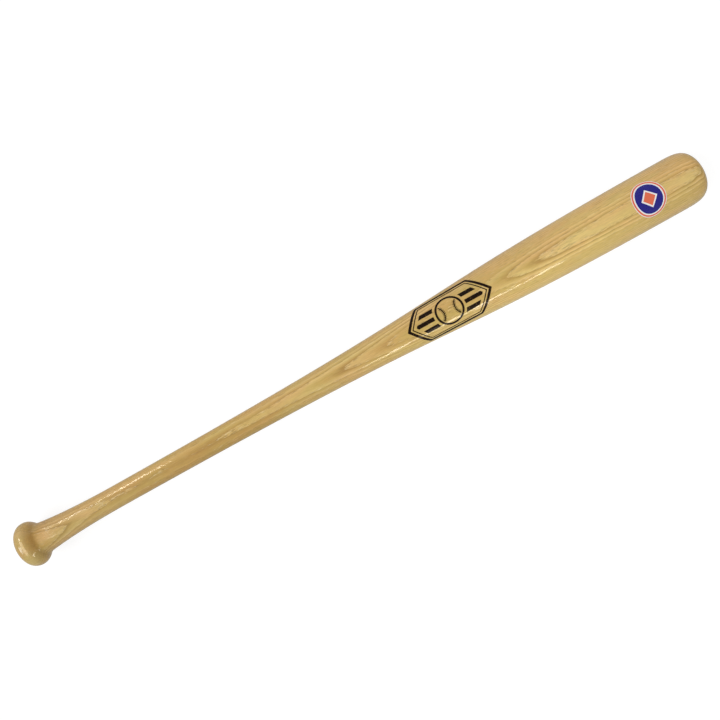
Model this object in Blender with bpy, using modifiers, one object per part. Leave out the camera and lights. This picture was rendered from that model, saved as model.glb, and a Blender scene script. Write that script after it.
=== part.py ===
"""A one-piece turned ash baseball bat with a foil mark on its taper and a round decal on its barrel.

The bat lies along +X with the middle of its knob face at the origin and its marked side up, towards +Z.
Metres throughout. Marks are drawn flat, as (along, around) from their own middle, then rolled onto the wood.
"""

import math

import bmesh
import bpy
import numpy as np
from mathutils import Vector
from mathutils.geometry import interpolate_bezier

# Turned billet: diameters, and stations measured along the bat
LENGTH = 0.864
FACE_DIAMETER = 0.012
KNOB_DIAMETER = 0.0519
KNOB_DOME = 0.0126
KNOB_LENGTH = 0.0275
NECK_DIAMETER = 0.0359
FLARE_ANGLE = math.radians(8.5)
HANDLE_DIAMETER = 0.0256
WAIST_STATION = 0.118
BARREL_DIAMETER = 0.0618
SWELL_FROM_TIP = 0.0302

# How far each turned curve holds its direction at its start and end, as shares of that curve's own run
KNOB_DOME_EASE = (0.35, 0.86)
KNOB_BACK_EASE = (0.485, 0.355)
FLARE_EASE = (0.31, 0.23)
TAPER_EASE = (0.666, 0.489)
TIP_EASE = (0.80, 0.95)

# Rings along each turned curve, and facets around the bat
KNOB_DOME_RINGS = 9
KNOB_BACK_RINGS = 10
FLARE_RINGS = 8
TAPER_RINGS = 20
TIP_RINGS = 12
FACETS = 48

# Films: clearance under them and thickness, and the cells that they are cut into to follow the wood
FILM_CLEARANCE = 0.0002
FOIL_THICKNESS = 0.00015
DECAL_THICKNESS = 0.00015
INK_CLEARANCE = 0.0001
INK_THICKNESS = 0.0001
CELL_ALONG = 0.013
CELL_AROUND = 0.004
ROUND_POINTS = 36

# Foil mark: a plaque with pointed ends, a ball in its middle and stripes out to the points
STAMP_STATION = 0.545
STAMP_LENGTH = 0.104
STAMP_WIDTH = 0.050
STAMP_POINT = 0.020
BORDER_WIDTH = 0.0030
INNER_LINE_GAP = 0.0015
INNER_LINE_WIDTH = 0.0012
BALL_DIAMETER = 0.033
BALL_LINE = 0.0024
SEAM_RADIUS = 0.0115
SEAM_CENTRE = 0.0183
SEAM_WIDTH = 0.0016
SEAM_END_GAP = 0.0009
STRIPE_WIDTH = 0.0046
STRIPE_PITCH = 0.0090
STRIPE_BALL_GAP = 0.0026
STRIPE_LINE_GAP = 0.0030

# Decal: a white oval film that looks round on the barrel, with a rim, a field and an infield diamond printed on it
DECAL_FROM_TIP = 0.0733
DECAL_LENGTH = 0.0380
DECAL_WIDTH = 0.0417
RIM_MARGIN = 0.0007
RIM_WIDTH = 0.0018
FIELD_GAP = 0.0015
DIAMOND_LENGTH = 0.0195
DIAMOND_WIDTH = 0.0215
DIAMOND_GAP = 0.0024

# Colours in linear light
ASH = (0.55, 0.38, 0.16)
FOIL_BLACK = (0.012, 0.012, 0.014)
FILM_WHITE = (0.86, 0.85, 0.82)
INK_ORANGE = (0.80, 0.19, 0.10)
INK_BLUE = (0.022, 0.028, 0.21)


def clear_scene():
    for old in list(bpy.data.objects):
        bpy.data.objects.remove(old, do_unlink=True)


def finish(name, colour, roughness, coat=0.0):
    material = bpy.data.materials.new(name)
    material.use_nodes = True
    shader = material.node_tree.nodes["Principled BSDF"]
    shader.inputs["Base Color"].default_value = (*colour, 1)
    shader.inputs["Roughness"].default_value = roughness
    shader.inputs["Metallic"].default_value = 0
    shader.inputs["Coat Weight"].default_value = coat
    return material


def turned_curve(start, end, start_tangent, end_tangent, ease, rings):
    """Points of a curve from start to end that leaves and arrives along the given tangents."""
    start, end = Vector((*start, 0)), Vector((*end, 0))
    leave = start + ease[0] * Vector((*start_tangent, 0))
    arrive = end - ease[1] * Vector((*end_tangent, 0))
    return [(point.x, point.y) for point in interpolate_bezier(start, leave, arrive, end, rings)]


def turned_profile():
    """(station, radius) from the edge of the knob's face to the edge of the tip's face."""
    swell_station = LENGTH - SWELL_FROM_TIP
    face, knob, neck = FACE_DIAMETER / 2, KNOB_DIAMETER / 2, NECK_DIAMETER / 2
    handle, barrel = HANDLE_DIAMETER / 2, BARREL_DIAMETER / 2
    back_run = KNOB_LENGTH - KNOB_DOME
    flare_run = WAIST_STATION - KNOB_LENGTH
    taper_run = swell_station - WAIST_STATION
    flare_slope = -math.tan(FLARE_ANGLE)
    knob_face, knob_ring, neck_ring = (0, face), (KNOB_DOME, knob), (KNOB_LENGTH, neck)
    waist, swell, tip = (WAIST_STATION, handle), (swell_station, barrel), (LENGTH, face)
    curves = [
        turned_curve(knob_face, knob_ring, (0, knob - face), (KNOB_DOME, 0), KNOB_DOME_EASE, KNOB_DOME_RINGS),
        turned_curve(
            knob_ring, neck_ring, (back_run, 0), (back_run, back_run * flare_slope), KNOB_BACK_EASE, KNOB_BACK_RINGS
        ),
        turned_curve(
            neck_ring, waist, (flare_run, flare_run * flare_slope), (flare_run, 0), FLARE_EASE, FLARE_RINGS
        ),
        turned_curve(waist, swell, (taper_run, 0), (taper_run, 0), TAPER_EASE, TAPER_RINGS),
        turned_curve(swell, tip, (SWELL_FROM_TIP, 0), (0, face - barrel), TIP_EASE, TIP_RINGS),
    ]
    profile = curves[0][:1]
    for curve in curves:
        profile += curve[1:]
    return profile


PROFILE = turned_profile()
STATIONS, RADII = np.array(PROFILE).T


def radius_at(station):
    return float(np.interp(station, STATIONS, RADII))


def on_wood(station, around, lift):
    """The point at an arc length around the bat from its top line, lifted off the wood."""
    radius = radius_at(station)
    angle = around / radius
    return Vector((station, (radius + lift) * math.sin(angle), (radius + lift) * math.cos(angle)))


def add_part(name, mesh, material, collection):
    part = bpy.data.objects.new(name, mesh)
    mesh.materials.append(material)
    collection.objects.link(part)
    return part


def turned_billet(material, collection):
    """The profile, from tip to knob and closed onto the axis at both faces, turned about X."""
    outline = [(LENGTH, 0), *reversed(PROFILE), (0, 0)]
    mesh = bpy.data.meshes.new("turned_billet")
    edges = [(i, i + 1) for i in range(len(outline) - 1)]
    mesh.from_pydata([(station, 0, radius) for station, radius in outline], edges, [])
    billet = add_part("turned_billet", mesh, material, collection)
    turn = billet.modifiers.new("turn", "SCREW")
    turn.axis = "X"
    turn.steps = turn.render_steps = FACETS
    turn.use_merge_vertices = True
    turn.merge_threshold = 1e-5
    turn.use_smooth_shade = True
    return billet


def flat_fill(loops):
    """A flat mesh that fills a closed loop of (along, around) points, less any loop inside it."""
    outline = bpy.data.curves.new("outline", "CURVE")
    outline.dimensions = "2D"
    outline.fill_mode = "BOTH"
    for loop in loops:
        spline = outline.splines.new("POLY")
        spline.points.add(len(loop) - 1)
        for point, (along, around) in zip(spline.points, loop):
            point.co = (along, around, 0, 1)
        spline.use_cyclic_u = True
    guide = bpy.data.objects.new("outline", outline)
    bpy.context.scene.collection.objects.link(guide)
    filled = bpy.data.meshes.new_from_object(guide.evaluated_get(bpy.context.evaluated_depsgraph_get()))
    bpy.data.objects.remove(guide, do_unlink=True)
    return filled


def cut_into_cells(flat, axis, cell):
    """Cuts a flat mesh across one of its axes, so that it can bend there."""
    normal = Vector((0, 0, 0))
    normal[axis] = 1
    low = min(vert.co[axis] for vert in flat.verts)
    high = max(vert.co[axis] for vert in flat.verts)
    count = max(1, round((high - low) / cell))
    for line in range(1, count):
        everything = flat.verts[:] + flat.edges[:] + flat.faces[:]
        place = normal * (low + (high - low) * line / count)
        bmesh.ops.bisect_plane(flat, geom=everything, dist=1e-6, plane_co=place, plane_no=normal)


def rolled_film(name, loops, station, lift, thickness, material, collection):
    """A thin film of the outline, rolled onto the wood about a station at a height above it."""
    mesh = flat_fill(loops)
    flat = bmesh.new()
    flat.from_mesh(mesh)
    bmesh.ops.remove_doubles(flat, verts=flat.verts, dist=1e-6)
    cut_into_cells(flat, 0, CELL_ALONG)
    cut_into_cells(flat, 1, CELL_AROUND)
    for vert in flat.verts:
        vert.co = on_wood(station + vert.co.x, vert.co.y, lift)
    for face in flat.faces:
        face.normal_update()
        if face.normal.z < 0:
            face.normal_flip()
    flat.to_mesh(mesh)
    flat.free()
    mesh.name = name
    mesh.shade_smooth()
    film = add_part(name, mesh, material, collection)
    thicken = film.modifiers.new("thickness", "SOLIDIFY")
    thicken.thickness = thickness
    thicken.offset = 1
    return film


def oval(half_along, half_around):
    turns = (2 * math.pi * i / ROUND_POINTS for i in range(ROUND_POINTS))
    return [(half_along * math.cos(turn), half_around * math.sin(turn)) for turn in turns]


def plaque_slant():
    return math.atan2(STAMP_WIDTH / 2, STAMP_POINT)


def plaque_end(inset, around):
    """How far along the plaque reaches at a height around, drawn in all round by inset."""
    tip = STAMP_LENGTH / 2 - inset / math.sin(plaque_slant())
    return tip - abs(around) / math.tan(plaque_slant())


def plaque(inset):
    """The plaque's six-sided outline, drawn in all round by inset."""
    side = STAMP_WIDTH / 2 - inset
    tip, shoulder = plaque_end(inset, 0), plaque_end(inset, side)
    return [(-tip, 0), (-shoulder, -side), (shoulder, -side), (tip, 0), (shoulder, side), (-shoulder, side)]


def seam(side):
    """A ball seam: an arc that bulges towards the ball's middle and stops short of the ball's line."""
    reach = BALL_DIAMETER / 2 - BALL_LINE - SEAM_END_GAP
    cosine = (SEAM_CENTRE**2 + SEAM_RADIUS**2 - reach**2) / (2 * SEAM_CENTRE * SEAM_RADIUS)
    half_sweep = math.acos(max(-1, min(1, cosine)))
    steps = [half_sweep * (2 * i / (ROUND_POINTS // 3) - 1) for i in range(ROUND_POINTS // 3 + 1)]
    outer, inner = SEAM_RADIUS + SEAM_WIDTH / 2, SEAM_RADIUS - SEAM_WIDTH / 2
    arc = [(SEAM_CENTRE - outer * math.cos(turn), outer * math.sin(turn)) for turn in steps]
    arc += [(SEAM_CENTRE - inner * math.cos(turn), inner * math.sin(turn)) for turn in reversed(steps)]
    return [(side * along, around) for along, around in arc]


def stripe(side, middle):
    """A stripe from beside the ball out to the plaque's pointed end, cut to both."""
    clear_of_ball = BALL_DIAMETER / 2 + STRIPE_BALL_GAP
    inset = BORDER_WIDTH + INNER_LINE_GAP + INNER_LINE_WIDTH + STRIPE_LINE_GAP
    edges = [middle + STRIPE_WIDTH * (i / 4 - 0.5) for i in range(5)]
    ball_end = [(math.sqrt(clear_of_ball**2 - around**2), around) for around in edges]
    far_end = [(plaque_end(inset, around), around) for around in reversed(edges)]
    return [(side * along, around) for along, around in ball_end + far_end]


def foil_mark(material, collection):
    """The islands of foil that the hot stamp leaves on the wood."""
    line = BORDER_WIDTH + INNER_LINE_GAP
    ball = BALL_DIAMETER / 2
    islands = {
        "stamp_border": [plaque(0), plaque(BORDER_WIDTH)],
        "stamp_inner_line": [plaque(line), plaque(line + INNER_LINE_WIDTH)],
        "stamp_ball": [oval(ball, ball), oval(ball - BALL_LINE, ball - BALL_LINE)],
    }
    for end, side in (("knob", -1), ("tip", 1)):
        islands[f"stamp_seam_{end}_side"] = [seam(side)]
        for row in (-1, 0, 1):
            islands[f"stamp_stripe_{end}_side_{row + 2}"] = [stripe(side, row * STRIPE_PITCH)]
    for name, loops in islands.items():
        rolled_film(name, loops, STAMP_STATION, FILM_CLEARANCE, FOIL_THICKNESS, material, collection)


def diamond(inset):
    along, around = DIAMOND_LENGTH / 2 - inset, DIAMOND_WIDTH / 2 - inset
    return [(-along, 0), (0, -around), (along, 0), (0, around)]


def barrel_decal(film_white, ink_orange, ink_blue, collection):
    """The white film, and the colours printed on it."""
    station = LENGTH - DECAL_FROM_TIP
    ink_lift = FILM_CLEARANCE + DECAL_THICKNESS + INK_CLEARANCE

    def drawn_in(inset):
        return oval(DECAL_LENGTH / 2 - inset, DECAL_WIDTH / 2 - inset)

    rim_inside = RIM_MARGIN + RIM_WIDTH
    rolled_film("decal_film", [drawn_in(0)], station, FILM_CLEARANCE, DECAL_THICKNESS, film_white, collection)
    prints = {
        "decal_rim": ([drawn_in(RIM_MARGIN), drawn_in(rim_inside)], ink_orange),
        "decal_field": ([drawn_in(rim_inside + FIELD_GAP), diamond(0)], ink_blue),
        "decal_diamond": ([diamond(DIAMOND_GAP)], ink_orange),
    }
    for name, (loops, ink) in prints.items():
        rolled_film(name, loops, station, ink_lift, INK_THICKNESS, ink, collection)


def main():
    clear_scene()
    bat = bpy.data.collections.new("baseball_bat")
    bpy.context.scene.collection.children.link(bat)
    turned_billet(finish("lacquered_ash", ASH, 0.35, coat=0.6), bat)
    foil_mark(finish("black_foil", FOIL_BLACK, 0.25), bat)
    barrel_decal(
        finish("decal_white", FILM_WHITE, 0.3, coat=0.3),
        finish("decal_orange", INK_ORANGE, 0.3, coat=0.3),
        finish("decal_blue", INK_BLUE, 0.3, coat=0.3),
        bat,
    )


main()
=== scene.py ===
import math

import bmesh
import bpy
import numpy as np
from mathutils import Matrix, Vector


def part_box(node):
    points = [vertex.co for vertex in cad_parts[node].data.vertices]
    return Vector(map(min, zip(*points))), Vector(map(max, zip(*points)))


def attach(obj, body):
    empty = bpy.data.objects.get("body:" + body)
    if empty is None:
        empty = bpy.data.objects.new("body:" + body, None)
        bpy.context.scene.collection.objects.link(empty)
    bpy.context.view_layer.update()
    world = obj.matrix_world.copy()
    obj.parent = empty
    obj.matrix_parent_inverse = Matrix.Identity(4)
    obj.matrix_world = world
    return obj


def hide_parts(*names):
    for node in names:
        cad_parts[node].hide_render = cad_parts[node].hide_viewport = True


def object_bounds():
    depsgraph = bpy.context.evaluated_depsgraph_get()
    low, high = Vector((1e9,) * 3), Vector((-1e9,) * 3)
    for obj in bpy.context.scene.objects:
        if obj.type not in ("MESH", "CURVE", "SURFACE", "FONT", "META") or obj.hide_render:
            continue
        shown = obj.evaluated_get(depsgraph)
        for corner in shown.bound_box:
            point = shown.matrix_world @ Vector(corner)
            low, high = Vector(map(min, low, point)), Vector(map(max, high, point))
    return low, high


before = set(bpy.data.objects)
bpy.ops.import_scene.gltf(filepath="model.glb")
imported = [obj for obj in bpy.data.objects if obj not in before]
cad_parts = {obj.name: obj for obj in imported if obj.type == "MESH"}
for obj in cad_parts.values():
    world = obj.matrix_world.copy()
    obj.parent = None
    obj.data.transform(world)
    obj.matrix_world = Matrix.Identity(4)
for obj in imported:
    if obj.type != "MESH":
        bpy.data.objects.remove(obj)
cad_low, cad_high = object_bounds()

# Lengths are in metres, but those of the grain are in millimetres
MM_PER_METRE = 1000

# Camera, as the photograph was taken: square to the marked side, rolled, and over the middle of the bat
PHOTO_SIDE_PX = 720
PHOTO_FOCAL_PX = 700
BAT_LENGTH_PX = 769.65
BAT_TILT_IN_PHOTO = math.radians(29.2547)
MIDDLE_FROM_KNOB = 0.4333
MIDDLE_ACROSS = 0.0004
SENSOR_MM = 36.0
CAMERA_SEES = (0.01, 200)

# Turned wood: rows along and facets around its mesh, and the slight waves that sanding leaves
WOOD_ROWS = 420
WOOD_FACETS = 160
OUTLINE_STEPS = 16
WOOD_WELD = 1e-6
SANDING_WAVE = 0.00004
SANDING_WAVES_PER_METRE = 24

# Films: height over the wood and thickness
FOIL_LIFT = 0.00004
FOIL_THICKNESS = 0.00005
DECAL_LIFT = 0.00004
DECAL_THICKNESS = 0.00007
INK_LIFT = 0.00014
INK_THICKNESS = 0.00004
FILM_CELL = 0.0015
FILM_WELD = 1e-7
FILM_EDGE = math.radians(40)
ROUND_POINTS = 144
RAY_START = 0.2

# Foil mark, drawn flat about its own middle
STAMP_WIDTH = 0.050
STAMP_POINT = 0.020
BORDER_WIDTH = 0.0030
INNER_LINE_GAP = 0.0015
INNER_LINE_WIDTH = 0.0012
BALL_DIAMETER = 0.033
BALL_LINE = 0.0024
SEAM_RADIUS = 0.0115
SEAM_CENTRE = 0.0183
SEAM_WIDTH = 0.0012
SEAM_END_GAP = 0.0009
STITCHES = 9
STITCH_LENGTH = 0.0019
STITCH_WIDTH = 0.00045
STITCH_GAP = 0.0003
STITCH_SLANT = math.radians(38)
STITCH_RUN = (0.06, 0.86)
STRIPE_WIDTH = 0.0046
STRIPE_PITCH = 0.0090
STRIPE_BALL_GAP = 0.0026
STRIPE_LINE_GAP = 0.0030
STRIPE_STEPS = 8

# Decal, drawn flat about its own middle
DECAL_LENGTH = 0.0380
DECAL_WIDTH = 0.0417
RIM_MARGIN = 0.0007
RIM_WIDTH = 0.0018
FIELD_GAP = 0.0015
DIAMOND_LENGTH = 0.0195
DIAMOND_WIDTH = 0.0215
DIAMOND_GAP = 0.0024

# Ash: growth rings lie nearly flat across the bat, square to its marked side (lengths in millimetres)
TOP_RINGS_MM = (14.35, 16.7, 18.65, 20.6, 22.4, 24.25, 26.03, 27.27, 30.4)
FIRST_YEAR = 15603
RING_MM = 2.3
RINGS_BELOW = 20
RING_UNEVEN = 0.35
RING_UNEVEN_TURN = 2.4
FAINTEST_YEAR = 0.15
GRAIN_LEAN = 0.0055
GRAIN_ROLL = 0.02
KNOB_ROLL = -0.14
FLARE_RING_MM = 17.3
BARREL_DROP_MM = 0.45
TIP_RISE_MM = 3.0
RING_DRIFT_MM = 0.5
RING_RIPPLE_MM = 0.7
PORE_DEPTH_MM = 0.02
GRAIN_HEIGHT_MM = 0.2
STRAND_HEIGHT_MM = 0.13
KNOB_GRAIN_SHARE = 0.15

# Where the grain, the lacquer and the painted shade on the handle change: from and to, along the bat, across
# it or up it (millimetres)
KNOB_GRAIN_TURNS = (45, 90)
FLARE_RING_ENDS = (45, 75)
BARREL_DROPS = (640, 730)
TIP_RISES = (846, 864)
LOWER_RINGS_FADE = (6.0, 15.0)
HANDLE_SHADE_STARTS = (110, 170)
HANDLE_SHADE_ENDS = (290, 360)
HANDLE_SHADE_SIDE = (-6.5, -2.5)
GRAIN_RISES = (15, 40)
STRANDS_END = (330, 430)
FLARE_SIDE = (8, 13)

# The band that nearly all of a noise's values lie in
NOISE_BAND = (0.3, 0.7)

# Finishes: colours in linear light, with the warmth, gloss, mottle and relief that go with them
ASH_DARK = (0.46, 0.280, 0.086)
ASH_MIDDLE = (0.61, 0.405, 0.134)
ASH_PALE = (0.76, 0.540, 0.222)
ASH_WARM = (1.04, 0.97, 0.92)
ASH_FRESH = (0.98, 1.02, 0.89)
ASH_GLINT = (0.82, 0.64, 0.33)
# Painted shade on the handle's -Y side
PAINTED_HANDLE_SHADE = (0.87, 0.83, 0.71)
# Painted tint of the light: the wood turns warmer towards +Y and fresher towards -Y
PAINTED_SIDE_TINT = 0.004
GROWTH_OF_A_YEAR = [
    (0.0, ASH_DARK),
    (0.05, ASH_PALE),
    (0.35, ASH_PALE),
    (0.76, ASH_MIDDLE),
    (0.95, ASH_DARK),
    (1.0, ASH_DARK),
]
# Tone along the bat: the wood's own, with painted shade in the crease behind the knob and painted light and
# shade on stretches lit more or less
TONE_AND_PAINTED_SHADING_ALONG = [
    (0.0, (0.91, 0.90, 0.90)),
    (0.0127, (0.87, 0.89, 0.90)),
    (0.0166, (0.94, 0.95, 0.95)),
    (0.0203, (1.04, 1.04, 1.06)),
    (0.0241, (1.03, 1.01, 0.95)),
    (0.0258, (0.98, 0.94, 0.84)),
    (0.0282, (0.72, 0.63, 0.48)),
    (0.0315, (0.85, 0.81, 0.73)),
    (0.0417, (0.91, 0.85, 0.84)),
    (0.053, (0.95, 0.94, 0.95)),
    (0.12, (0.97, 0.96, 0.97)),
    (0.20, (1.00, 0.98, 0.96)),
    (0.28, (0.97, 0.94, 0.85)),
    (0.42, (1.01, 1.01, 1.00)),
    (0.66, (0.96, 0.96, 0.95)),
    (0.84, (1.12, 1.125, 1.15)),
    (1.0, (1.00, 0.985, 0.985)),
]
END_GRAIN = (0.86, 0.82, 0.74)
PORE_BROWN = (0.22, 0.120, 0.032)
COAT = (0.75, 0.75, 0.75)
THIN_COAT = (0.1, 0.1, 0.1)
COAT_ALONG = [
    (0.0185, COAT),
    (0.0235, THIN_COAT),
    (0.042, THIN_COAT),
    (0.052, COAT),
]
LACQUER_ROUGHNESS = 0.08
FOIL_BLACK = (0.011, 0.0045, 0.002)
FOIL_RUBBED = (0.030, 0.017, 0.010)
FOIL_GRAIN_HEIGHT = 0.00005
FILM_WHITE = (0.90, 0.88, 0.86)
INK_ORANGE = (0.80, 0.17, 0.085)
INK_BLUE = (0.021, 0.018, 0.235)
INK_MOTTLE = 0.88
FILM_PEEL_HEIGHT = 0.00003

# Light of the white surround, by direction
SURROUND_AT_HORIZON = 1.06
SURROUND_OVERHEAD = 0.46
SURROUND_LOWER_SIDE = 0.74
SURROUND_UPPER_SIDE = 0.97
SURROUND_PAST_ENDS = 0.35
SURROUND_ENDS = (0.35, 0.95)

# Floor under the barrel and the knob: half its side, where along the bat the knob ends, and its finish
FLOOR_HALF = 30
KNOB_REACH = 0.05
FLOOR_PAPER = (0.62, 0.62, 0.62)
FLOOR_SHADOW = (0.22, 0.22, 0.22)
FLOOR_GLOW = 0.86

# Lamps' colours, and the sun
WARM_LAMP = (1.0, 0.92, 0.74)
FRESH_LAMP = (0.92, 1.0, 0.85)
SUN_STRENGTH = 1.5
SUN_SPREAD = math.radians(30)
SUN_HEADING = (0.80, 0.0, -0.78)

# Sizes and places that the frame gives
BAT_LENGTH = cad_high.x - cad_low.x
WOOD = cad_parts["turned_billet"]
STAMP_LOW, STAMP_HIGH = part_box("stamp_border")
STAMP_STATION = (STAMP_LOW.x + STAMP_HIGH.x) / 2
STAMP_LENGTH = STAMP_HIGH.x - STAMP_LOW.x
DECAL_LOW, DECAL_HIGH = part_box("decal_film")
DECAL_STATION = (DECAL_LOW.x + DECAL_HIGH.x) / 2


class Finish:
    """The nodes of a material, or of the surround, while they are being put together."""

    def __init__(self, owner, shader="Principled BSDF"):
        owner.use_nodes = True
        self.owner = owner
        self.tree = owner.node_tree
        self.shader = self.tree.nodes[shader]

    def feed(self, socket, value):
        if isinstance(value, bpy.types.NodeSocket):
            self.tree.links.new(value, socket)
        elif socket.type == "RGBA" and len(value) == 3:
            socket.default_value = (*value, 1)
        else:
            socket.default_value = value

    def add(self, kind, *inputs, **settings):
        node = self.tree.nodes.new(kind)
        for key, value in settings.items():
            setattr(node, key, value)
        for socket, value in zip(node.inputs, inputs):
            if value is not None:
                self.feed(socket, value)
        return node

    def place(self, stretch=(1, 1, 1), shift=(0, 0, 0)):
        """The point on the piece in millimetres, stretched to a pattern's marks per millimetre."""
        here = self.add("ShaderNodeTexCoord").outputs["Object"]
        scale = [MM_PER_METRE * s for s in stretch]
        return self.add("ShaderNodeMapping", here, shift, None, scale).outputs[0]

    def noise(self, where, detail=2.0, roughness=0.5, scale=1.0):
        node = self.add("ShaderNodeTexNoise")
        self.feed(node.inputs["Vector"], where)
        self.feed(node.inputs["Scale"], scale)
        self.feed(node.inputs["Detail"], detail)
        self.feed(node.inputs["Roughness"], roughness)
        return node.outputs["Fac"]

    def calc(self, operation, first, second=None, third=None):
        return self.add("ShaderNodeMath", first, second, third, operation=operation).outputs[0]

    def spread(self, value, low, high, to_low=0.0, to_high=1.0):
        node = self.add("ShaderNodeMapRange", value, low, high, to_low, to_high)
        node.interpolation_type = "SMOOTHSTEP"
        return node.outputs[0]

    def ramp(self, value, stops):
        node = self.add("ShaderNodeValToRGB", value)
        band = node.color_ramp
        band.elements[0].position, band.elements[0].color = stops[0][0], (*stops[0][1], 1)
        band.elements[1].position, band.elements[1].color = stops[-1][0], (*stops[-1][1], 1)
        for position, colour in stops[1:-1]:
            band.elements.new(position).color = (*colour, 1)
        return node.outputs[0]

    def steps(self, value, levels):
        """Counts the levels that a value has passed, with the share of the way to the next one."""
        low, high, last = levels[0], levels[-1], len(levels) - 1
        share = self.add("ShaderNodeMapRange", value, low, high).outputs[0]
        node = self.add("ShaderNodeFloatCurve", 1.0, share)
        line = node.mapping.curves[0]
        for index, level in enumerate(levels[1:-1], 1):
            line.points.new((level - low) / (high - low), index / last)
        for point in line.points:
            point.handle_type = "VECTOR"
        node.mapping.update()
        return self.calc("MULTIPLY", node.outputs[0], last)

    def blend(self, share, first, second, kind="MIX"):
        node = self.add("ShaderNodeMix", data_type="RGBA", blend_type=kind)
        for name, value in (("Factor_Float", share), ("A_Color", first), ("B_Color", second)):
            self.feed(next(s for s in node.inputs if s.identifier == name), value)
        return next(s for s in node.outputs if s.identifier == "Result_Color")

    def grey(self, level):
        return self.add("ShaderNodeCombineColor", level, level, level).outputs[0]

    def bump(self, height, distance, strength=1.0):
        node = self.add("ShaderNodeBump")
        self.feed(node.inputs["Height"], height)
        self.feed(node.inputs["Distance"], distance)
        self.feed(node.inputs["Strength"], strength)
        return node.outputs[0]

    def set(self, **inputs):
        for name, value in inputs.items():
            self.feed(self.shader.inputs[name.replace("_", " ")], value)
        return self.owner


def ring_heights():
    """Where each growth ring ends, up through the bat: uneven below, and as the marked side shows above."""
    years = range(RINGS_BELOW, 0, -1)
    depths = [RING_MM * (year + RING_UNEVEN * math.sin(RING_UNEVEN_TURN * year)) for year in years]
    return [TOP_RINGS_MM[0] - depth for depth in depths] + list(TOP_RINGS_MM)


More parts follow.
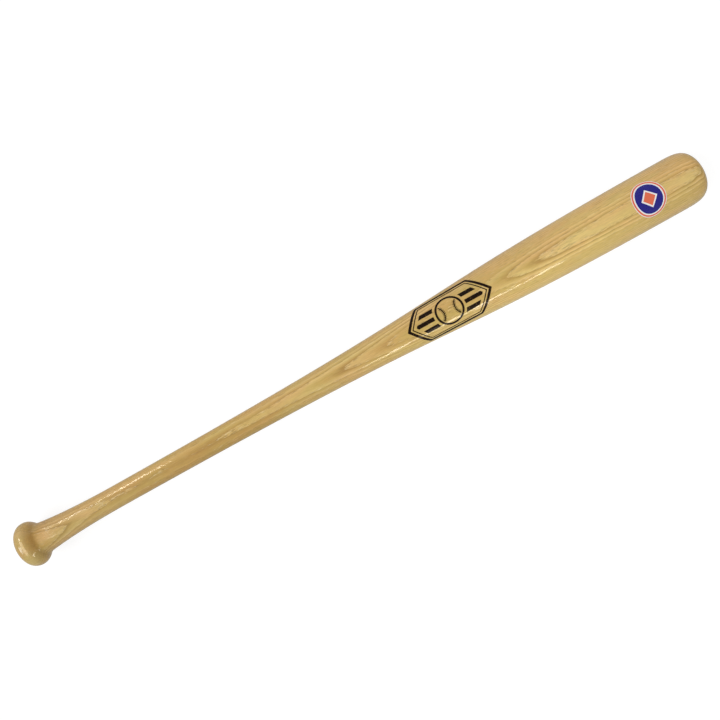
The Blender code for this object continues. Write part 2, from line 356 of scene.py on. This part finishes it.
def lacquered_ash():
    """Flat-sawn ash under clear lacquer: rings, rows of pores, flecks, end grain, slow changes of tone, and
    painted shade and tint where the light falls.
    """
    ash = Finish(bpy.data.materials.new("ash_under_lacquer"))
    at = ash.add("ShaderNodeSeparateXYZ", ash.place()).outputs

    # Growth rings, by height across the bat, with a slight lean along it
    drift = ash.noise(ash.place((0.0065, 0.035, 0.035)), detail=2)
    ripple = ash.noise(ash.place((0.03, 0.16, 0.16), (11, 3, 7)), detail=4, roughness=0.6)
    roll = ash.spread(at["X"], *KNOB_GRAIN_TURNS, KNOB_ROLL, GRAIN_ROLL)
    height = ash.calc("MULTIPLY_ADD", at["X"], -GRAIN_LEAN, at["Z"])
    height = ash.calc("MULTIPLY_ADD", at["Y"], roll, height)
    height = ash.calc("SUBTRACT", height, ash.spread(at["X"], *BARREL_DROPS, 0.0, BARREL_DROP_MM))
    height = ash.calc("ADD", height, ash.spread(at["X"], *TIP_RISES, 0.0, TIP_RISE_MM))
    height = ash.calc("MULTIPLY_ADD", ash.calc("SUBTRACT", drift, 0.5), RING_DRIFT_MM, height)
    height = ash.calc("MULTIPLY_ADD", ash.calc("SUBTRACT", ripple, 0.5), RING_RIPPLE_MM, height)
    level = ash.calc("ADD", height, MM_PER_METRE * GRAIN_LEAN * MIDDLE_FROM_KNOB)
    highest = ash.spread(at["X"], *FLARE_RING_ENDS, FLARE_RING_MM, 2 * FLARE_RING_MM)
    ring = ash.steps(ash.calc("MINIMUM", level, highest), ring_heights())
    share = ash.calc("FRACT", ring)
    year = ash.calc("ADD", ash.calc("FLOOR", ring), FIRST_YEAR)

    # Some years are fainter, and so are the rings on the lower side and in the end grain
    season = ash.add("ShaderNodeTexWhiteNoise", None, year, noise_dimensions="1D").outputs["Value"]
    fade = ash.noise(ash.place((0.011, 0.06, 0.06), (3, 1, 6)), detail=2)
    normal = ash.add("ShaderNodeTexCoord").outputs["Normal"]
    facing = ash.calc("ABSOLUTE", ash.add("ShaderNodeSeparateXYZ", normal).outputs["X"])
    strength = ash.spread(season, 0.0, 1.0, FAINTEST_YEAR, 1.0)
    strength = ash.calc("MULTIPLY", strength, ash.spread(fade, 0.34, 0.62, 0.55, 1.0))
    strength = ash.calc("MULTIPLY", strength, ash.spread(height, *LOWER_RINGS_FADE, 0.55, 1.0))
    strength = ash.calc("MULTIPLY", strength, ash.spread(facing, 0.12, 0.55, 1.0, 0.4))
    wood = ash.blend(strength, ASH_MIDDLE, ash.ramp(share, GROWTH_OF_A_YEAR))

    # Flecks and fibres along the grain, then slow changes of tone and warmth; the tone also paints the shade
    # behind the knob and light and shade along the bat
    fleck = ash.noise(ash.place((0.11, 0.95, 0.95), (2, 6, 4)), detail=3, roughness=0.6)
    fibre = ash.noise(ash.place((0.05, 2.4, 2.4)), detail=3, roughness=0.6)
    tone = ash.noise(ash.place((0.0045, 0.02, 0.02), (5, 9, 2)), detail=2)
    shade = ash.spread(fleck, *NOISE_BAND, 0.95, 1.05)
    shade = ash.calc("MULTIPLY", shade, ash.spread(fibre, *NOISE_BAND, 0.94, 1.06))
    shade = ash.calc("MULTIPLY", shade, ash.spread(tone, *NOISE_BAND, 0.96, 1.04))
    wood = ash.blend(1.0, wood, ash.grey(shade), "MULTIPLY")
    along = ash.calc("MULTIPLY", at["X"], 1 / (MM_PER_METRE * BAT_LENGTH))
    wood = ash.blend(1.0, wood, ash.ramp(along, TONE_AND_PAINTED_SHADING_ALONG), "MULTIPLY")
    warmth = ash.noise(ash.place((0.02, 0.08, 0.08), (8, 2, 5)), detail=2)
    # Painted tint of the light: warmer on the +Y side, fresher on the -Y side
    warmth = ash.calc("MULTIPLY_ADD", at["Y"], PAINTED_SIDE_TINT, warmth)
    wood = ash.blend(1.0, wood, ash.ramp(warmth, [(0.35, ASH_FRESH), (0.65, ASH_WARM)]), "MULTIPLY")

    # Painted shade: the handle is darker along its -Y side, where less light falls
    handle_shade = ash.spread(at["X"], *HANDLE_SHADE_STARTS)
    handle_shade = ash.calc("MULTIPLY", handle_shade, ash.spread(at["X"], *HANDLE_SHADE_ENDS, 1.0, 0.0))
    handle_shade = ash.calc("MULTIPLY", handle_shade, ash.spread(at["Y"], *HANDLE_SHADE_SIDE, 1.0, 0.0))
    wood = ash.blend(handle_shade, wood, ash.blend(1.0, wood, PAINTED_HANDLE_SHADE, "MULTIPLY"))

    # Open pores and rows of them, thickest in the early wood, and pale dashes between
    early = ash.spread(share, 0.04, 0.28, 1.0, 0.12)
    pore = ash.noise(ash.place((0.22, 3.4, 3.4), (1, 4, 8)), detail=2, roughness=0.6)
    pore = ash.calc("MULTIPLY", ash.spread(pore, 0.56, 0.70), early)
    row = ash.noise(ash.place((0.13, 1.1, 1.1), (7, 2, 9)), detail=1)
    row = ash.calc("MULTIPLY", ash.spread(row, 0.52, 0.64), early)
    dash = ash.noise(ash.place((0.12, 1.0, 1.0), (4, 8, 3)), detail=1)
    dash = ash.calc("MULTIPLY", ash.spread(dash, 0.52, 0.66), early)
    wood = ash.blend(ash.calc("MULTIPLY", dash, 0.6), wood, ASH_GLINT)
    wood = ash.blend(ash.calc("MULTIPLY", row, 0.46), wood, PORE_BROWN)
    wood = ash.blend(ash.calc("MULTIPLY", pore, 0.55), wood, PORE_BROWN)

    # End grain drinks the finish, so it is darker where the surface turns to face along the bat
    end_grain = ash.spread(facing, 0.30, 0.95)
    wood = ash.blend(end_grain, wood, ash.blend(1.0, wood, END_GRAIN, "MULTIPLY"))

    # The lacquer follows the grain, so that a highlight breaks into dashes, and is thin on top of the flare
    grain = ash.noise(ash.place((0.03, 0.4, 0.4), (2, 6, 4)), detail=1, roughness=0.3)
    grain_mm = ash.spread(at["X"], *GRAIN_RISES, KNOB_GRAIN_SHARE * GRAIN_HEIGHT_MM, GRAIN_HEIGHT_MM)
    relief = ash.calc("MULTIPLY", grain, grain_mm)
    strand = ash.noise(ash.place((0.08, 0.7, 0.7), (5, 1, 2)), detail=1)
    strand_mm = ash.spread(at["X"], *STRANDS_END, STRAND_HEIGHT_MM, 0.0)
    relief = ash.calc("MULTIPLY_ADD", strand, strand_mm, relief)
    relief = ash.calc("MULTIPLY_ADD", pore, -PORE_DEPTH_MM, relief)
    skin = ash.bump(relief, 1 / MM_PER_METRE)
    sides = ash.spread(ash.calc("ABSOLUTE", at["Y"]), *FLARE_SIDE)
    return ash.set(
        Base_Color=wood,
        Roughness=ash.spread(pore, 0, 1, 0.42, 0.65),
        Specular_IOR_Level=0.1,
        Normal=skin,
        Coat_Weight=ash.blend(sides, ash.ramp(along, COAT_ALONG), COAT),
        Coat_Roughness=LACQUER_ROUGHNESS,
        Coat_Normal=skin,
    )


def black_foil():
    """Hot-stamped foil: glossy black, pressed into the grain, with pinholes over the deepest pores."""
    foil = Finish(bpy.data.materials.new("stamped_foil"))
    grain = foil.noise(foil.place((0.22, 3.4, 3.4), (1, 4, 8)), detail=2, roughness=0.6)
    pinhole = foil.spread(grain, 0.68, 0.74)
    rub = foil.noise(foil.place((0.3, 0.6, 0.6)), detail=3)
    black = foil.blend(foil.spread(rub, 0.45, 0.8, 0.0, 0.3), FOIL_BLACK, FOIL_RUBBED)
    return foil.set(
        Base_Color=foil.blend(pinhole, black, ASH_DARK),
        Roughness=foil.spread(rub, *NOISE_BAND, 0.16, 0.28),
        Specular_IOR_Level=0.12,
        Normal=foil.bump(grain, FOIL_GRAIN_HEIGHT, 0.5),
    )


def printed_film(name, colour):
    """Gloss film or ink, with the faint mottle of a printed solid."""
    film = Finish(bpy.data.materials.new(name))
    mottle = film.noise(film.place((1.6, 1.6, 1.6)), detail=3)
    shade = tuple(INK_MOTTLE * c for c in colour)
    peel = film.noise(film.place((0.7, 0.7, 0.7)), detail=1)
    return film.set(
        Base_Color=film.blend(film.spread(mottle, 0.35, 0.7), colour, shade),
        Roughness=film.spread(mottle, *NOISE_BAND, 0.24, 0.36),
        Specular_IOR_Level=0.25,
        Normal=film.bump(peel, FILM_PEEL_HEIGHT, 0.3),
    )


def new_tree(name, inputs):
    """An empty Geometry Nodes tree with a geometry socket and the named inputs."""
    tree = bpy.data.node_groups.new(name, "GeometryNodeTree")
    tree.interface.new_socket("Geometry", in_out="OUTPUT", socket_type="NodeSocketGeometry")
    tree.interface.new_socket("Geometry", in_out="INPUT", socket_type="NodeSocketGeometry")
    for label, kind in inputs.items():
        tree.interface.new_socket(label, in_out="INPUT", socket_type="NodeSocket" + kind)
    return tree


def node(tree, kind, *inputs, **settings):
    """A node of the tree with its inputs filled in order from sockets or values, where None skips one."""
    made = tree.nodes.new(kind)
    for key, value in settings.items():
        setattr(made, key, value)
    for socket, value in zip([s for s in made.inputs if s.enabled], inputs):
        if isinstance(value, bpy.types.NodeSocket):
            tree.links.new(value, socket)
        elif value is not None:
            socket.default_value = value
    return made


def reckon(tree, operation, *values):
    """One step of arithmetic in a tree."""
    return node(tree, "ShaderNodeMath", *values, operation=operation).outputs[0]


def position(tree):
    return node(tree, "GeometryNodeInputPosition").outputs[0]


def split(tree, vector):
    """The X, Y and Z of a vector in a tree."""
    return node(tree, "ShaderNodeSeparateXYZ", vector).outputs


def joined(tree, x, y, z):
    return node(tree, "ShaderNodeCombineXYZ", x, y, z).outputs[0]


def close_tree(tree, geometry, material):
    """Ends a tree as every tree here ends: instances made real, and one material."""
    real = node(tree, "GeometryNodeRealizeInstances", geometry).outputs[0]
    dressed = node(tree, "GeometryNodeSetMaterial", real, None, material).outputs[0]
    node(tree, "NodeGroupOutput", dressed)


def run_tree(source, tree, values, thickness=0.0):
    """The plain mesh that a tree makes from an object, which is then removed."""
    grow = source.modifiers.new(tree.name, "NODES")
    grow.node_group = tree
    for item in tree.interface.items_tree:
        if item.in_out == "INPUT" and item.name in values:
            grow[item.identifier] = values[item.name]
    if thickness:
        thicken = source.modifiers.new("thickness", "SOLIDIFY")
        thicken.thickness = thickness
        thicken.offset = 1
    bpy.context.view_layer.update()
    mesh = bpy.data.meshes.new_from_object(source.evaluated_get(bpy.context.evaluated_depsgraph_get()))
    bpy.data.objects.remove(source, do_unlink=True)
    if thickness:
        mesh.set_sharp_from_angle(angle=FILM_EDGE)
    return mesh


def add_object(name, data):
    made = bpy.data.objects.new(name, data)
    bpy.context.scene.collection.objects.link(made)
    return made


def turned_wood_tree():
    """Turns a half outline about the bat's axis, with rows closer towards both ends, and a faint wave."""
    sizes = {"Rows": "Int", "Facets": "Int", "Wave": "Float", "Waves per Metre": "Float"}
    tree = new_tree("turned_wood", {**sizes, "Material": "Material"})
    given = node(tree, "NodeGroupInput").outputs
    columns = reckon(tree, "ADD", given["Facets"], 1.0)
    sheet = node(tree, "GeometryNodeMeshGrid", 1.0, 1.0, given["Rows"], columns).outputs["Mesh"]
    share = split(tree, position(tree))
    swing = reckon(tree, "MULTIPLY", share["X"], math.pi)
    swing = reckon(tree, "SINE", swing)
    along = reckon(tree, "MULTIPLY_ADD", swing, 0.5, 0.5)
    sample = tree.nodes.new("GeometryNodeSampleCurve")
    sample.mode = "FACTOR"
    sample.use_all_curves = True
    tree.links.new(given["Geometry"], sample.inputs["Curves"])
    tree.links.new(along, sample.inputs["Factor"])
    outline = split(tree, sample.outputs["Position"])
    turn = reckon(tree, "MULTIPLY", share["Y"], -2 * math.pi)
    sine = reckon(tree, "SINE", turn)
    cosine = reckon(tree, "COSINE", turn)
    left = reckon(tree, "MULTIPLY", outline["Z"], sine)
    down = reckon(tree, "MULTIPLY", outline["Z"], cosine)
    down = reckon(tree, "MULTIPLY", down, -1.0)
    round_place = joined(tree, outline["X"], left, down)
    body = node(tree, "GeometryNodeSetPosition", sheet, None, round_place).outputs[0]
    body = node(tree, "GeometryNodeMergeByDistance", body, None, WOOD_WELD).outputs[0]
    here = position(tree)
    wave = node(tree, "ShaderNodeTexNoise", here, None, given["Waves per Metre"], 1.0).outputs[0]
    centred = reckon(tree, "SUBTRACT", wave, 0.5)
    amount = reckon(tree, "MULTIPLY", centred, given["Wave"])
    normal = node(tree, "GeometryNodeInputNormal").outputs[0]
    shift = node(tree, "ShaderNodeVectorMath", normal, operation="SCALE")
    tree.links.new(amount, shift.inputs["Scale"])
    body = node(tree, "GeometryNodeSetPosition", body, None, None, shift.outputs[0]).outputs[0]
    body = node(tree, "GeometryNodeSetShadeSmooth", body, None, True).outputs[0]
    close_tree(tree, body, given["Material"])
    return tree


def solid_rings():
    """(station, radius) of each ring of the turned solid, from the knob to the tip."""
    points = np.array([vert.co for vert in WOOD.data.vertices])
    stations = np.round(points[:, 0], 6)
    radii = np.hypot(points[:, 1], points[:, 2])
    return [(float(station), float(radii[stations == station].max())) for station in np.unique(stations)]


def turned_wood(material):
    """The wood, turned smooth through the solid's own rings."""
    rings = solid_rings()
    outline = [(rings[0][0], 0.0), *rings, (rings[-1][0], 0.0)]
    line = bpy.data.curves.new("half_outline", "CURVE")
    line.dimensions = "3D"
    line.resolution_u = OUTLINE_STEPS
    spline = line.splines.new("BEZIER")
    spline.bezier_points.add(len(outline) - 1)
    for point, (station, radius) in zip(spline.bezier_points, outline):
        point.co = (station, 0, radius)
        point.handle_left_type = point.handle_right_type = "AUTO"
    sizes = {
        "Rows": WOOD_ROWS,
        "Facets": WOOD_FACETS,
        "Wave": SANDING_WAVE,
        "Waves per Metre": SANDING_WAVES_PER_METRE,
        "Material": material,
    }
    mesh = run_tree(add_object("half_outline", line), turned_wood_tree(), sizes)
    return add_object("turned_wood", mesh)


def rolled_tree():
    """Rolls a flat mesh onto the wood: along it as drawn, around it by arc length, at a height over it."""
    sizes = {"Wood": "Object", "Station": "Float", "Lift": "Float"}
    tree = new_tree("rolled_on_wood", {**sizes, "Material": "Material"})
    given = node(tree, "NodeGroupInput").outputs
    wood = node(tree, "GeometryNodeObjectInfo", given["Wood"]).outputs["Geometry"]
    flat = split(tree, position(tree))
    along = reckon(tree, "ADD", flat["X"], given["Station"])
    above = joined(tree, along, 0.0, RAY_START)
    down = (0, 0, -1)
    top = node(tree, "GeometryNodeRaycast", wood, None, above, down, RAY_START).outputs["Hit Position"]
    radius = split(tree, top)["Z"]
    angle = reckon(tree, "DIVIDE", flat["Y"], radius)
    sine = reckon(tree, "SINE", angle)
    cosine = reckon(tree, "COSINE", angle)
    outward = joined(tree, 0.0, sine, cosine)
    inward = node(tree, "ShaderNodeVectorMath", outward, (-1, -1, -1), operation="MULTIPLY").outputs[0]
    axis = joined(tree, along, 0.0, 0.0)
    reach = (RAY_START,) * 3
    start = node(tree, "ShaderNodeVectorMath", outward, reach, axis, operation="MULTIPLY_ADD").outputs[0]
    hit = node(tree, "GeometryNodeRaycast", wood, None, start, inward, RAY_START).outputs
    raised = node(tree, "ShaderNodeVectorMath", hit["Hit Normal"], operation="SCALE")
    tree.links.new(given["Lift"], raised.inputs["Scale"])
    lift = raised.outputs[0]
    seat = node(tree, "ShaderNodeVectorMath", hit["Hit Position"], lift, operation="ADD").outputs[0]
    moved = node(tree, "GeometryNodeSetPosition", given["Geometry"], None, seat).outputs[0]
    close_tree(tree, moved, given["Material"])
    return tree


def stitches_tree():
    """Slanted stitches in pairs along a seam's line, clear of the line itself."""
    sizes = {"Count": "Int", "Length": "Float", "Width": "Float", "Clear": "Float", "Slant": "Float"}
    tree = new_tree("seam_stitches", {**sizes, "Material": "Material"})
    given = node(tree, "NodeGroupInput").outputs
    run = node(tree, "GeometryNodeTrimCurve", given["Geometry"], None, *STITCH_RUN).outputs[0]
    places = node(tree, "GeometryNodeResampleCurve", run, None, given["Count"]).outputs[0]
    tangent = node(tree, "GeometryNodeInputTangent").outputs[0]
    turned = node(tree, "FunctionNodeAlignEulerToVector", None, None, tangent, axis="X").outputs[0]
    stroke = node(tree, "GeometryNodeMeshGrid", given["Length"], given["Width"], 4, 2).outputs[0]
    half = reckon(tree, "MULTIPLY", given["Length"], 0.5)
    sides = []
    for side in (1, -1):
        slant = reckon(tree, "MULTIPLY", given["Slant"], side)
        about = joined(tree, 0.0, 0.0, slant)
        rise = reckon(tree, "MULTIPLY", given["Clear"], side)
        offset = joined(tree, half, rise, 0.0)
        leaning = node(tree, "GeometryNodeTransform", stroke, offset).outputs[0]
        leaning = node(tree, "GeometryNodeTransform", leaning, None, about).outputs[0]
        row = node(tree, "GeometryNodeInstanceOnPoints", places, None, leaning, None, None, turned)
        sides.append(row.outputs[0])
    both = tree.nodes.new("GeometryNodeJoinGeometry")
    for strokes in sides:
        tree.links.new(strokes, both.inputs[0])
    close_tree(tree, both.outputs[0], given["Material"])
    return tree


def flat_fill(loops):
    """A flat mesh that fills a closed loop of (along, around) points, less any loop inside it."""
    outline = bpy.data.curves.new("outline", "CURVE")
    outline.dimensions = "2D"
    outline.fill_mode = "BOTH"
    for loop in loops:
        spline = outline.splines.new("POLY")
        spline.points.add(len(loop) - 1)
        for point, (along, around) in zip(spline.points, loop):
            point.co = (along, around, 0, 1)
        spline.use_cyclic_u = True
    guide = add_object("outline", outline)
    filled = bpy.data.meshes.new_from_object(guide.evaluated_get(bpy.context.evaluated_depsgraph_get()))
    bpy.data.objects.remove(guide, do_unlink=True)
    return filled


def cut_into_cells(flat, axis, cell):
    """Cuts a flat mesh across one of its axes, so that it can bend there."""
    normal = Vector((0, 0, 0))
    normal[axis] = 1
    low = min(vert.co[axis] for vert in flat.verts)
    high = max(vert.co[axis] for vert in flat.verts)
    count = max(1, round((high - low) / cell))
    for line in range(1, count):
        everything = flat.verts[:] + flat.edges[:] + flat.faces[:]
        place = normal * (low + (high - low) * line / count)
        bmesh.ops.bisect_plane(flat, geom=everything, dist=FILM_WELD, plane_co=place, plane_no=normal)


def flat_object(loops, extra=None):
    """A flat object of an outline, with a ready flat mesh beside it, cut finely enough to bend."""
    mesh = flat_fill(loops)
    flat = bmesh.new()
    flat.from_mesh(mesh)
    bmesh.ops.remove_doubles(flat, verts=flat.verts, dist=FILM_WELD)
    cut_into_cells(flat, 0, 4 * FILM_CELL)
    cut_into_cells(flat, 1, FILM_CELL)
    if extra is not None:
        flat.from_mesh(extra)
    for face in flat.faces:
        face.normal_update()
        if face.normal.z < 0:
            face.normal_flip()
        face.smooth = True
    flat.to_mesh(mesh)
    flat.free()
    mesh.materials.clear()
    return add_object("flat_film", mesh)


def oval(half_along, half_around):
    turns = (2 * math.pi * i / ROUND_POINTS for i in range(ROUND_POINTS))
    return [(half_along * math.cos(turn), half_around * math.sin(turn)) for turn in turns]


def plaque_slant():
    return math.atan2(STAMP_WIDTH / 2, STAMP_POINT)


def plaque_end(inset, around):
    """How far along the plaque reaches at a height around, drawn in all round by inset."""
    tip = STAMP_LENGTH / 2 - inset / math.sin(plaque_slant())
    return tip - abs(around) / math.tan(plaque_slant())


def plaque(inset):
    """The plaque's six-sided outline, drawn in all round by inset."""
    side = STAMP_WIDTH / 2 - inset
    tip, shoulder = plaque_end(inset, 0), plaque_end(inset, side)
    lower = [(-tip, 0), (-shoulder, -side), (shoulder, -side)]
    upper = [(tip, 0), (shoulder, side), (-shoulder, side)]
    return lower + upper


def seam_arc(side, radius):
    """A ball seam's arc at a radius about its own centre, which stops short of the ball's line."""
    reach = BALL_DIAMETER / 2 - BALL_LINE - SEAM_END_GAP
    cosine = (SEAM_CENTRE**2 + SEAM_RADIUS**2 - reach**2) / (2 * SEAM_CENTRE * SEAM_RADIUS)
    half_sweep = math.acos(cosine)
    count = ROUND_POINTS // 4
    turns = [half_sweep * (2 * i / count - 1) for i in range(count + 1)]
    return [(side * (SEAM_CENTRE - radius * math.cos(turn)), radius * math.sin(turn)) for turn in turns]


def seam_stitches(side, tree, material):
    """The flat mesh of one seam's stitches."""
    arc = seam_arc(side, SEAM_RADIUS)
    line = bpy.data.curves.new("seam", "CURVE")
    line.dimensions = "3D"
    spline = line.splines.new("POLY")
    spline.points.add(len(arc) - 1)
    for point, (along, around) in zip(spline.points, arc):
        point.co = (along, around, 0, 1)
    sizes = {
        "Count": STITCHES,
        "Length": STITCH_LENGTH,
        "Width": STITCH_WIDTH,
        "Clear": SEAM_WIDTH / 2 + STITCH_GAP,
        "Slant": STITCH_SLANT,
        "Material": material,
    }
    return run_tree(add_object("seam_line", line), tree, sizes)


def stripe(side, middle):
    """A stripe from beside the ball out to the plaque's pointed end, cut to both."""
    clear_of_ball = BALL_DIAMETER / 2 + STRIPE_BALL_GAP
    inset = BORDER_WIDTH + INNER_LINE_GAP + INNER_LINE_WIDTH + STRIPE_LINE_GAP
    edges = [middle + STRIPE_WIDTH * (i / STRIPE_STEPS - 0.5) for i in range(STRIPE_STEPS + 1)]
    ball_end = [(math.sqrt(clear_of_ball**2 - around**2), around) for around in edges]
    far_end = [(plaque_end(inset, around), around) for around in reversed(edges)]
    return [(side * along, around) for along, around in ball_end + far_end]


def diamond(inset):
    along, around = DIAMOND_LENGTH / 2 - inset, DIAMOND_WIDTH / 2 - inset
    return [(-along, 0), (0, -around), (along, 0), (0, around)]


def drawn_in(inset):
    return oval(DECAL_LENGTH / 2 - inset, DECAL_WIDTH / 2 - inset)


def finished(piece, node_name, slot_name):
    """A finished piece takes its node's place on the bat."""
    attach(piece, "root")
    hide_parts(node_name)
    return piece


def foil_outlines():
    """Each island of the foil mark: its node's name, its loops and, for a seam, its side."""
    line = BORDER_WIDTH + INNER_LINE_GAP
    ball = BALL_DIAMETER / 2
    yield "stamp_border", [plaque(0), plaque(BORDER_WIDTH)], 0
    yield "stamp_inner_line", [plaque(line), plaque(line + INNER_LINE_WIDTH)], 0
    yield "stamp_ball", [oval(ball, ball), oval(ball - BALL_LINE, ball - BALL_LINE)], 0
    for end, side in (("knob", -1), ("tip", 1)):
        inner = seam_arc(side, SEAM_RADIUS - SEAM_WIDTH / 2)
        outer = seam_arc(side, SEAM_RADIUS + SEAM_WIDTH / 2)
        yield f"stamp_seam_{end}_side", [inner + outer[::-1]], side
        for row in (-1, 0, 1):
            yield f"stamp_stripe_{end}_side_{row + 2}", [stripe(side, row * STRIPE_PITCH)], 0


def foil_mark(wood, tree, material):
    stitches = stitches_tree()
    place = {"Wood": wood, "Station": STAMP_STATION, "Lift": FOIL_LIFT, "Material": material}
    for name, loops, side in foil_outlines():
        extra = seam_stitches(side, stitches, material) if side else None
        mesh = run_tree(flat_object(loops, extra), tree, place, FOIL_THICKNESS)
        finished(add_object(name + "_foil", mesh), name, "black_foil")


def barrel_decal(wood, tree):
    inks = {
        "decal_white": printed_film("white_film", FILM_WHITE),
        "decal_orange": printed_film("orange_ink", INK_ORANGE),
        "decal_blue": printed_film("blue_ink", INK_BLUE),
    }
    rim_inside = RIM_MARGIN + RIM_WIDTH
    rim = [drawn_in(RIM_MARGIN), drawn_in(rim_inside)]
    field = [drawn_in(rim_inside + FIELD_GAP), diamond(0)]
    layers = [
        ("decal_film", [drawn_in(0)], "decal_white", DECAL_LIFT, DECAL_THICKNESS),
        ("decal_rim", rim, "decal_orange", INK_LIFT, INK_THICKNESS),
        ("decal_field", field, "decal_blue", INK_LIFT, INK_THICKNESS),
        ("decal_diamond", [diamond(DIAMOND_GAP)], "decal_orange", INK_LIFT, INK_THICKNESS),
    ]
    for name, loops, ink, lift, thickness in layers:
        place = {"Wood": wood, "Station": DECAL_STATION, "Lift": lift, "Material": inks[ink]}
        mesh = run_tree(flat_object(loops), tree, place, thickness)
        finished(add_object(name + "_print", mesh), name, ink)


def floor_finish():
    """A white floor that keeps the bat's soft shadow, and that the gloss sees as plain paper."""
    floor = Finish(bpy.data.materials.new("studio_floor"))
    seen = floor.add("ShaderNodeLightPath").outputs["Is Camera Ray"]
    paper = floor.add("ShaderNodeBsdfDiffuse", FLOOR_PAPER).outputs[0]
    faint = floor.add("ShaderNodeBsdfDiffuse", FLOOR_SHADOW).outputs[0]
    glow = floor.add("ShaderNodeEmission", (1, 1, 1), FLOOR_GLOW).outputs[0]
    lit = floor.add("ShaderNodeAddShader", faint, glow).outputs[0]
    choose = floor.add("ShaderNodeMixShader", seen, paper, lit).outputs[0]
    floor.feed(floor.tree.nodes["Material Output"].inputs["Surface"], choose)
    floor.tree.nodes.remove(floor.shader)
    return floor.owner


def studio_floor():
    """A floor that touches the bat's barrel and knob, so it leans a little in the bat's own frame."""
    rings = solid_rings()
    knob = max((ring for ring in rings if ring[0] < KNOB_REACH), key=lambda ring: ring[1])
    swell = max(rings, key=lambda ring: ring[1])
    lean = math.asin((swell[1] - knob[1]) / (swell[0] - knob[0]))
    mesh = bpy.data.meshes.new("studio_floor")
    half = FLOOR_HALF
    corners = [(-half, -half, 0), (half, -half, 0), (half, half, 0), (-half, half, 0)]
    mesh.from_pydata(corners, [], [(0, 1, 2, 3)])
    floor = add_object("studio_floor", mesh)
    floor.location = (swell[0], 0, -swell[1] / math.cos(lean))
    floor.rotation_euler = (0, lean, 0)
    mesh.materials.append(floor_finish())


def studio_lamp(name, place, aim, width, height, watts, colour, highlight=True):
    """A lamp that shows only as a highlight on the gloss, or only as light on the wood."""
    lamp = bpy.data.lights.new(name, "AREA")
    lamp.shape = "RECTANGLE"
    lamp.size, lamp.size_y = width, height
    lamp.energy = watts
    lamp.color = colour
    stand = add_object(name, lamp)
    stand.location = place
    stand.rotation_euler = (Vector(aim) - Vector(place)).to_track_quat("-Z", "Y").to_euler()
    stand.visible_diffuse = not highlight
    stand.visible_glossy = highlight
    stand.visible_camera = False


def studio_surround():
    """White to the camera, but as light dimmer overhead and on one side, and as gloss past both ends."""
    sky = Finish(bpy.data.worlds.new("studio"), "Background")
    ray = sky.add("ShaderNodeLightPath").outputs
    look = sky.add("ShaderNodeSeparateXYZ", sky.add("ShaderNodeTexCoord").outputs["Generated"]).outputs
    level = sky.add("ShaderNodeMapRange", look["Z"], 0, 1, SURROUND_AT_HORIZON, SURROUND_OVERHEAD)
    side = sky.add("ShaderNodeMapRange", look["Y"], -1, 1, SURROUND_LOWER_SIDE, SURROUND_UPPER_SIDE)
    ends = sky.spread(sky.calc("ABSOLUTE", look["X"]), *SURROUND_ENDS, 0.0, 1 - SURROUND_PAST_ENDS)
    gloss = sky.calc("SUBTRACT", 1.0, sky.calc("MULTIPLY", ends, ray["Is Glossy Ray"]))
    light = sky.calc("MULTIPLY", level.outputs[0], side.outputs[0])
    light = sky.calc("MULTIPLY", light, gloss)
    strength = sky.calc("MAXIMUM", light, ray["Is Camera Ray"])
    bpy.context.scene.world = sky.set(Strength=strength, Color=(1, 1, 1))


def studio_light():
    """A soft sun from the left, three lamps that show as highlights, and one for the barrel's side."""
    window = bpy.data.lights.new("left_window", "SUN")
    window.energy = SUN_STRENGTH
    window.angle = SUN_SPREAD
    stand = add_object("left_window", window)
    stand.rotation_euler = Vector(SUN_HEADING).to_track_quat("-Z", "Y").to_euler()
    studio_lamp(
        "upper_lamp",
        place=(-0.30, 0.73, 0.68),
        aim=(0.12, 0, 0),
        width=0.31,
        height=0.14,
        watts=2.3,
        colour=WARM_LAMP,
    )
    studio_lamp(
        "strip_lamp",
        place=(0.645, -0.85, 0.54),
        aim=(MIDDLE_FROM_KNOB, 0, 0),
        width=0.57,
        height=0.15,
        watts=3.8,
        colour=WARM_LAMP,
    )
    studio_lamp(
        "knob_lamp",
        place=(-0.002, -0.001, 0.094),
        aim=(0.0127, 0, 0.0255),
        width=0.12,
        height=0.042,
        watts=0.090,
        colour=WARM_LAMP,
    )
    studio_lamp(
        "side_lamp",
        place=(0.60, -0.18, 0.07),
        aim=(0.60, -0.02, 0.015),
        width=0.16,
        height=0.05,
        watts=0.09,
        colour=FRESH_LAMP,
        highlight=False,
    )


def photo_camera():
    lens = bpy.data.cameras.new("photo_camera")
    lens.sensor_width = SENSOR_MM
    lens.lens = lens.sensor_width * PHOTO_FOCAL_PX / PHOTO_SIDE_PX
    camera = add_object("photo_camera", lens)
    distance = PHOTO_FOCAL_PX * BAT_LENGTH / BAT_LENGTH_PX
    camera.location = (MIDDLE_FROM_KNOB, MIDDLE_ACROSS, distance)
    camera.rotation_euler = (0, 0, -BAT_TILT_IN_PHOTO)
    lens.clip_start, lens.clip_end = CAMERA_SEES
    bpy.context.scene.camera = camera


def main():
    bpy.context.scene.view_settings.view_transform = "Standard"
    photo_camera()
    wood = finished(turned_wood(lacquered_ash()), "turned_billet", "lacquered_ash")
    tree = rolled_tree()
    foil_mark(wood, tree, black_foil())
    barrel_decal(wood, tree)
    studio_floor()
    studio_surround()
    studio_light()


main()
